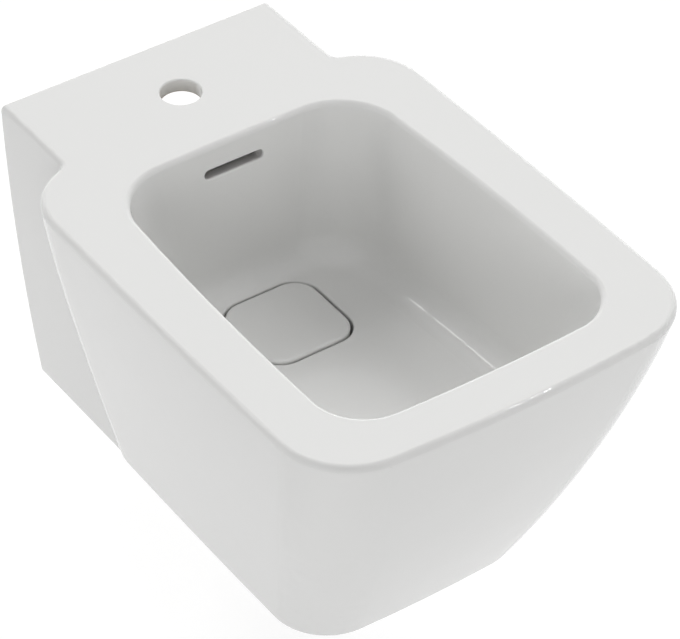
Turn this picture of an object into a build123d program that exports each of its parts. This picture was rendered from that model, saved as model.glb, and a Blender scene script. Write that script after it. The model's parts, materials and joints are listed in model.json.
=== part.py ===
from build123d import *
from math import atan2, cos, degrees, hypot, radians, sin, sqrt
import os

# Wall-hung bidet. Millimetres, +Z up, +X to the right seen from the front. The wall is the plane Y = 0
# and the bidet reaches towards -Y. The origin is the middle of the two wall studs, on the wall.

# Outside of the ceramic body
rim_height = 80.0
body_height = 296.0
body_length = 542.0
foot_length = 421.6
basin_width = 360.4
basin_width_at_foot = 231.0
ledge_width = 264.2
ledge_width_at_foot = 222.0
shoulder_y = -96.5
shoulder_radius = 60.0
shoulder_radius_at_foot = 52.0
valley_radius = 8.0
side_bow_radius = 8000.0
side_bow_y = -305.0
front_bow_radius = 1450.0
front_corner_radius = 64.0
front_corner_radius_at_foot = 52.0
rim_edge_radius = 4.75
foot_edge_radius = 5.0
wall_edge_radius = 2.0

# How the outside tapers: the part of the travel that is straight, and the power of the rest
side_taper_start = 0.083
side_taper_power = 1.205
front_taper_start = 0.655
front_taper_power = 2.02
ledge_taper_start = 0.2
ledge_taper_power = 1.9
shell_levels = 5

# Walls of the ceramic
shell_wall = 10.0
rim_wall = 12.0
bowl_wall = 10.0
overrun = 5.0

# Bowl
bowl_rear_y = -144.4
bowl_front_y = -495.3
bowl_half_width_rear = 118.8
bowl_half_width_front = 128.0
bowl_side_bow = 4.9
bowl_front_bow = 4.6
bowl_rear_bow = 1.5
bowl_corner_radius_rear = 54.0
bowl_corner_radius_front = 45.0
bowl_depth = 141.5
bowl_side_draft = 20.0
bowl_rear_draft = 12.5
bowl_front_draft = 48.0
bowl_edge_radius = 4.5
bowl_floor_radius = 26.0
bowl_floor_fall = 1.0

# Recess in the bowl floor and the cover in it
waste_y = -222.0
recess_size = 91.0
recess_corner_radius = 24.0
recess_floor_radius = 9.0
recess_edge_radius = 1.6
cover_gap = 2.5
cover_thickness = 9.0
cover_proud = 1.5
cover_edge_radius = 3.0
cover_underside_chamfer = 1.0

# Clearances: between pieces that move on each other, and between pieces that are fitted
running_gap = 0.3
fit_gap = 0.15

# Press plug under the cover
plug_stroke = 7.0
carrier_pocket_depth = 3.0
carrier_plate = 3.5
carrier_skirt_height = 4.0
carrier_skirt_wall = 3.2
grip_ring_wire_radius = 0.9
plug_disc_radius = 22.0
plug_disc_thickness = 3.0
plug_disc_edge_radius = 0.8
plug_seal_thickness = 2.5
plug_seal_inner_radius = 14.0
plug_seal_outer_radius = 20.5
screw_radius = 2.5
screw_length = 8.0
screw_head_radius = 4.6
screw_socket_radius = 1.7
screw_socket_depth = 1.6

# Cartridge of the press plug
stem_radius = 3.0
stem_head_radius = 4.5
stem_head_height = 9.0
stem_collar_radius = 5.5
stem_collar_thickness = 3.0
stem_tip = 2.0
cartridge_radius = 8.0
cartridge_bore_radius = 5.8
cartridge_collar_radius = 10.0
cartridge_collar_thickness = 2.5
cartridge_cap_thickness = 3.5
cartridge_cap_spigot = 1.5
cartridge_end_wall = 3.0
spring_room = 27.0
spring_wire_radius = 0.5
spring_turns = 6

# Waste fitting with a G 1 1/4 barrel
waste_thread_radius = 20.95
waste_bore_radius = 17.5
waste_length = 85.0
waste_tail_length = 22.0
thread_chamfer = 0.8
thread_relief_width = 2.0
thread_relief_depth = 1.2
flange_radius = 32.0
flange_land_radius = 22.0
flange_thickness = 3.0
flange_rise = 0.8
flange_seal_thickness = 1.8
flange_seal_radius = 31.0
waste_hole_radius = 23.0
waste_boss_radius = 41.0
waste_boss_depth = 42.0
bridge_thickness = 8.0
bridge_spoke_width = 4.0
hub_radius = 11.0
barrel_slot_width = 13.0
barrel_slot_height = 15.0
barrel_slot_radius = 3.0
under_seal_thickness = 4.0
under_seal_taper = 3.0
slip_washer_thickness = 2.0
washer_radius = 30.0
backnut_thickness = 10.0
backnut_across_flats = 52.0
backnut_chamfer = 1.0

# Overflow
overflow_width = 57.0
overflow_height = 8.4
overflow_below_rim = 26.2
overflow_edge_radius = 1.0
duct_width = 56.0
duct_depth = 11.0
duct_wall = 8.0
duct_fall = 6.0

# Tap hole
tap_hole_radius = 17.5
tap_hole_y = -68.0
tap_hole_edge_radius = 1.5

# Hidden wall fixing on two M12 studs
stud_spacing = 180.0
stud_thread_radius = 6.0
stud_boss_radius = 19.0
stud_boss_length = 60.0
stud_bore_radius = 13.0
rib_thickness = 14.0
sleeve_wall = 2.5
sleeve_collar_radius = 16.5
sleeve_collar_thickness = 2.0
sleeve_setback = 1.0
block_length = 46.0
block_setback = 0.0
clamp_y = -30.0
clamp_pad_size = 24.0
clamp_pad_depth = 4.0
clamp_thread_radius = 4.0
clamp_hole_clearance = 0.5
clamp_head_radius = 6.5
clamp_head_height = 8.0
clamp_socket_radius = 3.4
clamp_socket_depth = 4.5
clamp_washer_radius = 9.0
clamp_washer_thickness = 1.6

os.makedirs("parts", exist_ok=True)

# Heights that follow from the sizes above, from the rim down to the end of the waste
floor_z = rim_height - bowl_depth
cover_top_z = floor_z + cover_proud
cover_bottom_z = cover_top_z - cover_thickness
carrier_top_z = cover_bottom_z + carrier_pocket_depth
carrier_plate_z = carrier_top_z - carrier_plate
carrier_skirt_z = carrier_plate_z - carrier_skirt_height
disc_top_z = carrier_plate_z - running_gap
disc_bottom_z = disc_top_z - plug_disc_thickness
seal_bottom_z = disc_bottom_z - plug_seal_thickness
flange_top_z = seal_bottom_z - plug_stroke - running_gap
flange_bottom_z = flange_top_z - flange_thickness
recess_floor_z = flange_bottom_z - flange_seal_thickness
boss_bottom_z = recess_floor_z - waste_boss_depth
under_seal_z = boss_bottom_z - under_seal_thickness
slip_washer_z = under_seal_z - slip_washer_thickness
backnut_z = slip_washer_z - backnut_thickness
waste_end_z = flange_bottom_z - waste_length
relief_bottom_z = waste_end_z + thread_chamfer + waste_tail_length
relief_top_z = relief_bottom_z + thread_relief_width

# Heights of the cartridge
stem_head_z = disc_bottom_z - stem_head_height
cap_top_z = stem_head_z - plug_stroke - running_gap
cap_bottom_z = cap_top_z - cartridge_cap_thickness
hub_top_z = cap_bottom_z - cartridge_collar_thickness
cap_spigot_z = cap_bottom_z - cartridge_cap_spigot
stem_collar_z = cap_spigot_z - running_gap
spring_top_z = stem_collar_z - stem_collar_thickness
spring_bottom_z = spring_top_z - spring_room
cartridge_end_z = spring_bottom_z - cartridge_end_wall
stem_end_z = cartridge_end_z - stem_tip
spring_radius = (stem_radius + cartridge_bore_radius) / 2
spring_height = spring_room - 2 * spring_wire_radius

# Radii and plan sizes round the waste
cover_size = recess_size - 2 * cover_gap
cover_corner_radius = recess_corner_radius - cover_gap
carrier_inner_radius = plug_disc_radius + running_gap
carrier_radius = carrier_inner_radius + carrier_skirt_wall
grip_groove_radius = carrier_inner_radius + 2 * grip_ring_wire_radius
grip_ring_z = disc_top_z - plug_disc_thickness / 2
pot_size = recess_size + 2 * bowl_wall
waste_axis = Axis((0, waste_y, 0), (0, 0, 1))
waste_section = Plane(origin=(0, waste_y, 0), x_dir=(1, 0, 0), z_dir=(0, -1, 0))

# Overflow duct as a side profile: down the back of the bowl, then forward to the waste hole
overflow_z = rim_height - overflow_below_rim
duct_top_z = overflow_z + overflow_height
duct_turn_z = recess_floor_z - duct_wall
duct_low_z = duct_turn_z - duct_depth
duct_front_top_y = bowl_rear_y + duct_wall
duct_front_low_y = duct_front_top_y - bowl_rear_draft
duct_points = [
    (duct_front_top_y, duct_top_z),
    (duct_front_low_y, duct_turn_z),
    (waste_y, duct_turn_z - duct_fall),
    (waste_y, duct_low_z - duct_fall),
    (duct_front_low_y + duct_depth, duct_low_z),
    (duct_front_top_y + duct_depth, duct_top_z),
]
casing_top_z = rim_height - rim_wall / 2
casing_points = [
    (bowl_rear_y, casing_top_z),
    (bowl_rear_y - bowl_rear_draft, duct_turn_z),
    (waste_y, duct_turn_z),
    (waste_y, boss_bottom_z),
    (waste_y + waste_boss_radius, boss_bottom_z),
    (duct_front_low_y + duct_depth + duct_wall, duct_low_z),
    (duct_front_top_y + duct_depth + duct_wall, casing_top_z),
]
barrel_slot_z = duct_turn_z - duct_fall - duct_depth / 2

# Levels at which the lofted forms are drawn, as shares of their height
shell_shares = [number / (shell_levels - 1) for number in range(shell_levels)]
cavity_shares = shell_shares + [1 + overrun / body_height]
bowl_shares = (-overrun / bowl_depth, 0.5, 1.0)
jacket_shares = (0.0, 0.5, 1.0)


def taper(share, start, power):
    """How far a wall has come in at a share of the height below the rim, from 0 to 1."""
    return start * share + (1 - start) * share**power


def blend(at_rim, at_foot, amount):
    """A size that runs from its value at the rim to its value at the foot."""
    return at_rim + (at_foot - at_rim) * amount


def ledge_half(share):
    """Half the width of the ledge block at a share of the height below the rim."""
    return blend(ledge_width, ledge_width_at_foot, taper(share, ledge_taper_start, ledge_taper_power)) / 2


# Places of the stud bosses, which are carried by a rib from the ledge and a web from the side wall
stud_places = [(-stud_spacing / 2, 0), (stud_spacing / 2, 0)]
clamp_places = [(-stud_spacing / 2, clamp_y), (stud_spacing / 2, clamp_y)]
clamp_pad_z = -stud_boss_radius - clamp_pad_depth
clamp_hole_radius = clamp_thread_radius + clamp_hole_clearance
clamp_washer_z = clamp_pad_z - clamp_washer_thickness
sleeve_radius = stud_bore_radius - fit_gap
block_radius = sleeve_radius - sleeve_wall - fit_gap
web_outer_x = ledge_half(rim_height / body_height) - shell_wall / 2
web_length = web_outer_x - stud_spacing / 2 - stud_bore_radius
web_centre_x = web_outer_x - web_length / 2


def heading(start, end):
    """Direction from one point to another in degrees, anticlockwise from +X."""
    return degrees(atan2(end[1] - start[1], end[0] - start[0]))


def outer_meeting(first, first_reach, second, second_reach):
    """The point at the two given distances from two centres that lies on the left, seen from the first."""
    gap_x, gap_y = second[0] - first[0], second[1] - first[1]
    gap = hypot(gap_x, gap_y)
    along = (gap**2 + first_reach**2 - second_reach**2) / (2 * gap)
    aside = sqrt(first_reach**2 - along**2)
    x = first[0] + (along * gap_x - aside * gap_y) / gap
    return (x, first[1] + (along * gap_y + aside * gap_x) / gap)


def shell_outline(share, inset, rear_y):
    """Outline of the body at one level: ledge block, concave valley, shoulder, bowed side and bowed front."""
    side_taper = taper(share, side_taper_start, side_taper_power)
    front_taper = taper(share, front_taper_start, front_taper_power)
    ledge = ledge_half(share) - inset
    half = blend(basin_width, basin_width_at_foot, side_taper) / 2 - inset
    front_y = inset - blend(body_length, foot_length, front_taper)
    valley = valley_radius + inset
    shoulder = blend(shoulder_radius, shoulder_radius_at_foot, share) - inset
    corner = blend(front_corner_radius, front_corner_radius_at_foot, share) - inset
    side_bow = side_bow_radius - inset
    front_bow = front_bow_radius - inset

    # Centres of the arcs of the right half, each tangent to the next
    side_centre = (half - side_bow, side_bow_y)
    front_centre = (0, front_y + front_bow)
    corner_centre = outer_meeting(front_centre, front_bow - corner, side_centre, side_bow - corner)
    shoulder_centre_y = shoulder_y - inset - shoulder
    shoulder_rise = shoulder_centre_y - side_bow_y
    shoulder_centre = (side_centre[0] + sqrt((side_bow - shoulder) ** 2 - shoulder_rise**2), shoulder_centre_y)
    valley_reach = ledge + valley - shoulder_centre[0]
    valley_centre = (ledge + valley, shoulder_centre_y + sqrt((shoulder + valley) ** 2 - valley_reach**2))

    # Directions in which the arcs meet; the side has a joint where it is widest
    front_turn = heading(front_centre, corner_centre)
    side_turn = heading(side_centre, corner_centre)
    shoulder_turn = heading(side_centre, shoulder_centre)
    valley_turn = heading(shoulder_centre, valley_centre)
    arcs = [
        (corner_centre, corner, front_turn, side_turn),
        (side_centre, side_bow, side_turn, 0),
        (side_centre, side_bow, 0, shoulder_turn),
        (shoulder_centre, shoulder, shoulder_turn, valley_turn),
        (valley_centre, valley, valley_turn + 180, 180),
    ]
    CenterArc(front_centre, front_bow, front_turn, -180 - 2 * front_turn)
    for (x, y), radius, start, end in arcs:
        CenterArc((x, y), radius, start, end - start)
        CenterArc((-x, y), radius, 180 - start, start - end)
    Line((ledge, valley_centre[1]), (ledge, rear_y))
    Line((ledge, rear_y), (-ledge, rear_y))
    Line((-ledge, rear_y), (-ledge, valley_centre[1]))


def shell_section(share, inset, rear_y):
    """Closed face of the body at one level."""
    with BuildSketch(Plane.XY.offset(rim_height - body_height * share)) as section:
        with BuildLine():
            shell_outline(share, inset, rear_y)
        make_face()
    return section.sketch


def bowl_outline(share, grow):
    """Four bowed sides of the bowl at a share of its depth, grown outwards by a wall, before its corners
    are rounded. Drawn from the waste's axis."""
    side = bowl_side_draft * share - grow
    rear = bowl_rear_y - bowl_rear_draft * share + grow - waste_y
    front = bowl_front_y + bowl_front_draft * share - grow - waste_y
    rear_half = bowl_half_width_rear - side
    front_half = bowl_half_width_front - side
    middle = ((rear_half + front_half) / 2 + bowl_side_bow, (rear + front) / 2)
    ThreePointArc((-rear_half, rear - bowl_rear_bow), (0, rear), (rear_half, rear - bowl_rear_bow))
    ThreePointArc((rear_half, rear - bowl_rear_bow), middle, (front_half, front + bowl_front_bow))
    ThreePointArc((front_half, front + bowl_front_bow), (0, front), (-front_half, front + bowl_front_bow))
    ThreePointArc(
        (-front_half, front + bowl_front_bow), (-middle[0], middle[1]), (-rear_half, rear - bowl_rear_bow)
    )


def bowl_plane(share, drop):
    """Plane of a bowl section: level at the rim, with the fall to the waste at the floor."""
    fall = radians(bowl_floor_fall * share)
    return Plane(
        origin=(0, waste_y, rim_height - bowl_depth * share - drop),
        x_dir=(1, 0, 0),
        z_dir=(0, sin(fall), cos(fall)),
    )


def bowl_section(share, grow, drop):
    """Closed face of the bowl at one depth."""
    with BuildSketch(bowl_plane(share, drop)) as section:
        with BuildLine():
            bowl_outline(share, grow)
        make_face()
        fillet(section.vertices().sort_by(Axis.Y)[:2], bowl_corner_radius_front + grow)
        fillet(section.vertices().sort_by(Axis.Y)[-2:], bowl_corner_radius_rear + grow)
    return section.sketch


def on_recess_lip(edge):
    """True for the edges where the recess meets the bowl floor."""
    return abs(edge.center().Z - floor_z) < overrun


def on_overflow_lip(edge):
    """True for the edges where the overflow slot opens in the bowl wall."""
    centre = edge.center()
    in_slot = abs(centre.X) < overflow_width / 2 + fit_gap and abs(centre.Z - overflow_z) < overflow_height
    return in_slot and bowl_rear_y - bowl_rear_draft < centre.Y < bowl_rear_y + fit_gap


def on_wall_corner(edge):
    """True for the two upright edges where the sides of the ledge block meet the wall."""
    centre = edge.center()
    upright = edge.length > body_height / 2
    return upright and abs(centre.Y) < fit_gap and abs(centre.X) > ledge_width_at_foot / 2


# Bowl form: the hollow that is taken out of the ceramic
with BuildPart() as bowl_form:
    loft([bowl_section(share, 0, 0) for share in bowl_shares])
    fillet(bowl_form.faces().sort_by(Axis.Z)[0].edges(), bowl_floor_radius)

# Jacket form: the bowl grown by its wall
with BuildPart() as jacket_form:
    loft([bowl_section(share, bowl_wall, bowl_wall * share) for share in jacket_shares])
    fillet(jacket_form.faces().sort_by(Axis.Z)[0].edges(), bowl_floor_radius + bowl_wall)

# Cavity form: the hollow between outer shell and bowl, open below and towards the wall
with BuildPart() as cavity_form:
    loft([shell_section(share, shell_wall, overrun) for share in cavity_shares])
    with BuildSketch(Plane.XY.offset(rim_height - rim_wall)):
        Rectangle(2 * basin_width, 3 * body_length)
    extrude(amount=2 * rim_wall, mode=Mode.SUBTRACT)

# Recess form: the pocket in the bowl floor
with BuildPart() as recess_form:
    with BuildSketch(Plane.XY.offset(recess_floor_z)):
        with Locations((0, waste_y)):
            RectangleRounded(recess_size, recess_size, recess_corner_radius)
    extrude(amount=floor_z - recess_floor_z + overrun)
    fillet(recess_form.faces().sort_by(Axis.Z)[0].edges(), recess_floor_radius)

# Ceramic body: outer shell hollowed from below, with the bowl hung in it and bosses for its fittings
with BuildPart() as ceramic_body:
    loft([shell_section(share, 0, 0) for share in shell_shares])
    fillet(ceramic_body.faces().sort_by(Axis.Z)[-1].edges().sort_by(Axis.Y)[:-1], rim_edge_radius)
    fillet(ceramic_body.faces().sort_by(Axis.Z)[0].edges().sort_by(Axis.Y)[:-1], foot_edge_radius)
    add(cavity_form.part, mode=Mode.SUBTRACT)
    add(jacket_form.part)

    # Pot round the recess, and boss round the waste hole
    with BuildSketch(Plane.XY.offset(recess_floor_z - bowl_wall)):
        with Locations((0, waste_y)):
            RectangleRounded(pot_size, pot_size, recess_corner_radius + bowl_wall)
    extrude(amount=floor_z - recess_floor_z)
    with BuildSketch(Plane.XY.offset(boss_bottom_z)):
        with Locations((0, waste_y)):
            Circle(waste_boss_radius)
    extrude(amount=waste_boss_depth)

    # Casing of the overflow duct
    with BuildSketch(Plane.YZ):
        with BuildLine():
            Polyline(casing_points, close=True)
        make_face()
    extrude(amount=duct_width / 2 + duct_wall, both=True)

    # Stud bosses with their ribs, webs and clamp pads
    with BuildSketch(Plane.XZ):
        with Locations(stud_places):
            Circle(stud_boss_radius)
            Rectangle(rib_thickness, rim_height - rim_wall, align=(Align.CENTER, Align.MIN))
        with Locations((-web_centre_x, 0), (web_centre_x, 0)):
            Rectangle(web_length, rib_thickness)
    extrude(amount=stud_boss_length)
    with BuildSketch(Plane.XY.offset(clamp_pad_z)):
        with Locations(clamp_places):
            Rectangle(clamp_pad_size, clamp_pad_size)
    extrude(amount=clamp_pad_depth + stud_boss_radius - stud_bore_radius)

    # Bowl with its rolled rim, recess with its rolled lip, and waste hole
    add(bowl_form.part, mode=Mode.SUBTRACT)
    fillet(ceramic_body.faces().sort_by(Axis.Z)[-1].inner_wires()[0].edges(), bowl_edge_radius)
    add(recess_form.part, mode=Mode.SUBTRACT)
    fillet(ceramic_body.edges(Select.LAST).filter_by(on_recess_lip), recess_edge_radius)
    with BuildSketch(Plane.XY.offset(boss_bottom_z)):
        with Locations((0, waste_y)):
            Circle(waste_hole_radius)
    extrude(amount=waste_boss_depth + overrun, mode=Mode.SUBTRACT)

    # Overflow duct and its slot through the rear bowl wall
    with BuildSketch(Plane.YZ):
        with BuildLine():
            Polyline(duct_points, close=True)
        make_face()
    extrude(amount=duct_width / 2, both=True, mode=Mode.SUBTRACT)
    with BuildSketch(Plane.XZ.offset(-duct_front_top_y)):
        with Locations((0, overflow_z)):
            SlotOverall(overflow_width, overflow_height)
    extrude(amount=2 * bowl_wall, mode=Mode.SUBTRACT)
    fillet(ceramic_body.edges().filter_by(on_overflow_lip), overflow_edge_radius)

    # Tap hole, stud bores and clamp screw holes
    with Locations((0, tap_hole_y, rim_height)):
        Hole(tap_hole_radius, depth=2 * rim_wall)
    tap_hole_edges = ceramic_body.edges(Select.LAST).filter_by(GeomType.CIRCLE).sort_by(Axis.Z)
    fillet(tap_hole_edges[-1], tap_hole_edge_radius)
    with BuildSketch(Plane.XZ.offset(-overrun)):
        with Locations(stud_places):
            Circle(stud_bore_radius)
    extrude(amount=stud_boss_length + 2 * overrun, mode=Mode.SUBTRACT)
    with BuildSketch(Plane.XY.offset(clamp_pad_z)):
        with Locations(clamp_places):
            Circle(clamp_hole_radius)
    extrude(amount=stud_boss_radius, mode=Mode.SUBTRACT)
    fillet(ceramic_body.edges().filter_by(on_wall_corner), wall_edge_radius)
ceramic_body.part.label = "ceramic_body"
export_step(ceramic_body.part, "parts/ceramic_body.step")

# Waste cover: glazed ceramic square with a pocket for its carrier underneath
with BuildPart() as waste_cover:
    with BuildSketch(Plane.XY.offset(cover_bottom_z)):
        with Locations((0, waste_y)):
            RectangleRounded(cover_size, cover_size, cover_corner_radius)
    extrude(amount=cover_thickness)
    fillet(waste_cover.faces().sort_by(Axis.Z)[-1].edges(), cover_edge_radius)
    chamfer(waste_cover.faces().sort_by(Axis.Z)[0].edges(), cover_underside_chamfer)
    with BuildSketch(Plane.XY.offset(cover_bottom_z)):
        with Locations((0, waste_y)):
            Circle(carrier_radius + fit_gap)
    extrude(amount=carrier_pocket_depth, mode=Mode.SUBTRACT)
waste_cover.part.label = "waste_cover"
export_step(waste_cover.part, "parts/waste_cover.step")

# Cover carrier: plastic cup under the cover that slips over the plug disc, with a groove inside
with BuildPart() as cover_carrier:
    with BuildSketch(waste_section):
        with BuildLine():
            Polyline(
                (0, carrier_plate_z),
                (carrier_inner_radius, carrier_plate_z),
                (carrier_inner_radius, grip_ring_z + grip_ring_wire_radius),
                (grip_groove_radius, grip_ring_z + grip_ring_wire_radius),
                (grip_groove_radius, grip_ring_z - grip_ring_wire_radius),
                (carrier_inner_radius, grip_ring_z - grip_ring_wire_radius),
                (carrier_inner_radius, carrier_skirt_z),
                (carrier_radius, carrier_skirt_z),
                (carrier_radius, carrier_top_z),
                (0, carrier_top_z),
                close=True,
            )
        make_face()
    revolve(axis=waste_axis)
cover_carrier.part.label = "cover_carrier"
export_step(cover_carrier.part, "parts/cover_carrier.step")

# Grip ring: rubber ring in the carrier's groove that holds the cover on the plug
with BuildPart() as grip_ring:
    with BuildSketch(waste_section):
        with Locations((grip_groove_radius - grip_ring_wire_radius, grip_ring_z)):
            Circle(grip_ring_wire_radius)
    revolve(axis=waste_axis)
grip_ring.part.label = "grip_ring"
export_step(grip_ring.part, "parts/grip_ring.step")

# Plug disc: chromed disc with a countersunk hole for its screw
with BuildPart() as plug_disc:
    with BuildSketch(Plane.XY.offset(disc_bottom_z)):
        with Locations((0, waste_y)):
            Circle(plug_disc_radius)
    extrude(amount=plug_disc_thickness)
    fillet(plug_disc.faces().sort_by(Axis.Z)[-1].edges(), plug_disc_edge_radius)
    with Locations((0, waste_y, disc_top_z)):
        CounterSinkHole(screw_radius + fit_gap, screw_head_radius + fit_gap, counter_sink_angle=90)
plug_disc.part.label = "plug_disc"
export_step(plug_disc.part, "parts/plug_disc.step")

# Plug seal: flat rubber ring under the plug disc
with BuildPart() as plug_seal:
    with BuildSketch(Plane.XY.offset(seal_bottom_z)):
        with Locations((0, waste_y)):
            Circle(plug_seal_outer_radius)
            Circle(plug_seal_inner_radius, mode=Mode.SUBTRACT)
    extrude(amount=plug_seal_thickness)
plug_seal.part.label = "plug_seal"
export_step(plug_seal.part, "parts/plug_seal.step")

# Plug screw: countersunk socket screw through the disc into the stem head
with BuildPart() as plug_screw:
    with BuildSketch(waste_section):
        with BuildLine():
            Polyline(
                (0, disc_top_z),
                (screw_head_radius, disc_top_z),
                (screw_radius, disc_top_z - screw_head_radius + screw_radius),
                (screw_radius, disc_top_z - screw_length),
                (0, disc_top_z - screw_length),
                close=True,
            )
        make_face()
    revolve(axis=waste_axis)
    with BuildSketch(Plane.XY.offset(disc_top_z)):
        with Locations((0, waste_y)):
            RegularPolygon(screw_socket_radius, 6)
    extrude(amount=-screw_socket_depth, mode=Mode.SUBTRACT)
plug_screw.part.label = "plug_screw"
export_step(plug_screw.part, "parts/plug_screw.step")

# Plunger: sliding stem with a head under the disc and a collar over the spring
with BuildPart() as plunger:
    with BuildSketch(waste_section):
        with BuildLine():
            Polyline(
                (0, disc_bottom_z),
                (stem_head_radius, disc_bottom_z),
                (stem_head_radius, stem_head_z),
                (stem_radius, stem_head_z),
                (stem_radius, stem_collar_z),
                (stem_collar_radius, stem_collar_z),
                (stem_collar_radius, spring_top_z),
                (stem_radius, spring_top_z),
                (stem_radius, stem_end_z),
                (0, stem_end_z),
                close=True,
            )
        make_face()
    revolve(axis=waste_axis)
    with Locations((0, waste_y, disc_bottom_z)):
        Hole(screw_radius + fit_gap, depth=screw_length - plug_disc_thickness + running_gap)
plunger.part.label = "plunger"
export_step(plunger.part, "parts/plunger.step")

# Plunger spring: round wire wound between the housing floor and the stem collar
with BuildPart() as plunger_spring:
    with BuildLine() as spring_path:
        Helix(
            pitch=(spring_height - running_gap) / spring_turns,
            height=spring_height - running_gap,
            radius=spring_radius,
            center=(0, waste_y, spring_bottom_z + spring_wire_radius),
        )
    with BuildSketch(Plane(origin=spring_path.line @ 0, z_dir=spring_path.line % 0)):
        Circle(spring_wire_radius)
    sweep(is_frenet=True)
plunger_spring.part.label = "plunger_spring"
export_step(plunger_spring.part, "parts/plunger_spring.step")

# Cartridge cap: guides the stem and stops its collar
with BuildPart() as cartridge_cap:
    with BuildSketch(waste_section):
        with BuildLine():
            Polyline(
                (stem_radius + running_gap, cap_top_z),
                (cartridge_radius, cap_top_z),
                (cartridge_radius, cap_bottom_z),
                (cartridge_bore_radius - fit_gap, cap_bottom_z),
                (cartridge_bore_radius - fit_gap, cap_spigot_z),
                (stem_radius + running_gap, cap_spigot_z),
                close=True,
            )
        make_face()
    revolve(axis=waste_axis)
cartridge_cap.part.label = "cartridge_cap"
export_step(cartridge_cap.part, "parts/cartridge_cap.step")

# Cartridge housing: sleeve in the hub of the waste, with a collar on top of the hub
with BuildPart() as cartridge_housing:
    with BuildSketch(waste_section):
        with BuildLine():
            Polyline(
                (cartridge_bore_radius, cap_bottom_z),
                (cartridge_collar_radius, cap_bottom_z),
                (cartridge_collar_radius, hub_top_z),
                (cartridge_radius, hub_top_z),
                (cartridge_radius, cartridge_end_z),
                (stem_radius + running_gap, cartridge_end_z),
                (stem_radius + running_gap, spring_bottom_z),
                (cartridge_bore_radius, spring_bottom_z),
                close=True,
            )
        make_face()
    revolve(axis=waste_axis)
cartridge_housing.part.label = "cartridge_housing"
export_step(cartridge_housing.part, "parts/cartridge_housing.step")

# Waste body: one profile for the dished flange, the barrel and the relief groove between nut and trap
# threads, then four overflow slots and a spoked hub
with BuildPart() as waste_body:
    with BuildSketch(waste_section):
        with BuildLine():
            Polyline(
                (waste_bore_radius, flange_top_z),
                (flange_land_radius, flange_top_z),
                (flange_radius, flange_top_z + flange_rise),
                (flange_radius, flange_bottom_z),
                (waste_thread_radius, flange_bottom_z),
                (waste_thread_radius, relief_top_z),
                (waste_thread_radius - thread_relief_depth, relief_top_z),
                (waste_thread_radius - thread_relief_depth, relief_bottom_z),
                (waste_thread_radius, relief_bottom_z),
                (waste_thread_radius, waste_end_z + thread_chamfer),
                (waste_thread_radius - thread_chamfer, waste_end_z),
                (waste_bore_radius, waste_end_z),
                close=True,
            )
        make_face()
    revolve(axis=waste_axis)
    for turn in (45, 135):
        with BuildSketch(waste_section.rotated((0, turn, 0))):
            with Locations((0, barrel_slot_z)):
                RectangleRounded(barrel_slot_width, barrel_slot_height, barrel_slot_radius)
        extrude(amount=waste_thread_radius + overrun, both=True, mode=Mode.SUBTRACT)
    with BuildSketch(Plane.XY.offset(hub_top_z - bridge_thickness)):
        with Locations((0, waste_y)):
            Circle(hub_radius)
            Rectangle(2 * waste_bore_radius + overrun, bridge_spoke_width)
            Rectangle(bridge_spoke_width, 2 * waste_bore_radius + overrun)
            Circle(cartridge_radius + fit_gap, mode=Mode.SUBTRACT)
    extrude(amount=bridge_thickness)
waste_body.part.label = "waste_body"
export_step(waste_body.part, "parts/waste_body.step")

# Flange seal: soft ring between the flange and the recess floor
with BuildPart() as flange_seal:
    with BuildSketch(Plane.XY.offset(recess_floor_z)):
        with Locations((0, waste_y)):
            Circle(flange_seal_radius)
            Circle(waste_hole_radius, mode=Mode.SUBTRACT)
    extrude(amount=flange_seal_thickness)
flange_seal.part.label = "flange_seal"
export_step(flange_seal.part, "parts/flange_seal.step")

# Under seal: tapered rubber washer under the ceramic boss
with BuildPart() as under_seal:
    with BuildSketch(waste_section):
        with BuildLine():
            Polyline(
                (waste_thread_radius + fit_gap, boss_bottom_z),
                (washer_radius, boss_bottom_z),
                (washer_radius - under_seal_taper, under_seal_z),
                (waste_thread_radius + fit_gap, under_seal_z),
                close=True,
            )
        make_face()
    revolve(axis=waste_axis)
under_seal.part.label = "under_seal"
export_step(under_seal.part, "parts/under_seal.step")

# Slip washer: plastic ring that lets the nut turn under the rubber
with BuildPart() as slip_washer:
    with BuildSketch(Plane.XY.offset(slip_washer_z)):
        with Locations((0, waste_y)):
            Circle(washer_radius)
            Circle(waste_thread_radius + fit_gap, mode=Mode.SUBTRACT)
    extrude(amount=slip_washer_thickness)
slip_washer.part.label = "slip_washer"
export_step(slip_washer.part, "parts/slip_washer.step")

# Backnut: brass hexagon nut on the barrel
with BuildPart() as backnut:
    with BuildSketch(Plane.XY.offset(backnut_z)):
        with Locations((0, waste_y)):
            RegularPolygon(backnut_across_flats / 2, 6, major_radius=False)
    extrude(amount=backnut_thickness)
    chamfer(backnut.faces().sort_by(Axis.Z)[0].edges(), backnut_chamfer)
    with Locations((0, waste_y, slip_washer_z)):
        Hole(waste_thread_radius + fit_gap)
backnut.part.label = "backnut"
export_step(backnut.part, "parts/backnut.step")

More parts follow.
